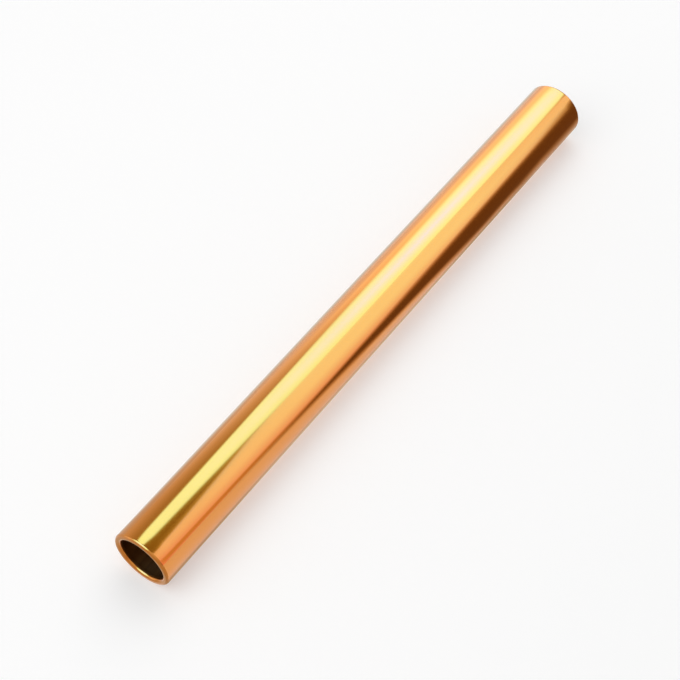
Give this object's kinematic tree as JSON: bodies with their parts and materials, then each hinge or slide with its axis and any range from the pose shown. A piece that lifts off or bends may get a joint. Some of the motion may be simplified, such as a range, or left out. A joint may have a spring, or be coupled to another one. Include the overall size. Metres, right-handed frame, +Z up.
{
  "type": "relay baton",
  "caption": "Straight hollow relay baton of anodised aluminium tube, open through, with both ends rolled inwards into smooth rims.",
  "frame": {"origin": "point of balance: on the tube's axis, midway between its two rims", "axes": "+X along the tube's axis; the baton lies on its side, so +Z is up and Y is level across it. It is alike end for end and all round"},
  "size_m": [0.3, 0.027, 0.027],
  "materials": {
    "gold_anodised_aluminium": "gloss"
  },
  "bodies": {
    "root": {"baton_tube": "gold_anodised_aluminium"}
  },
  "joints": []
}
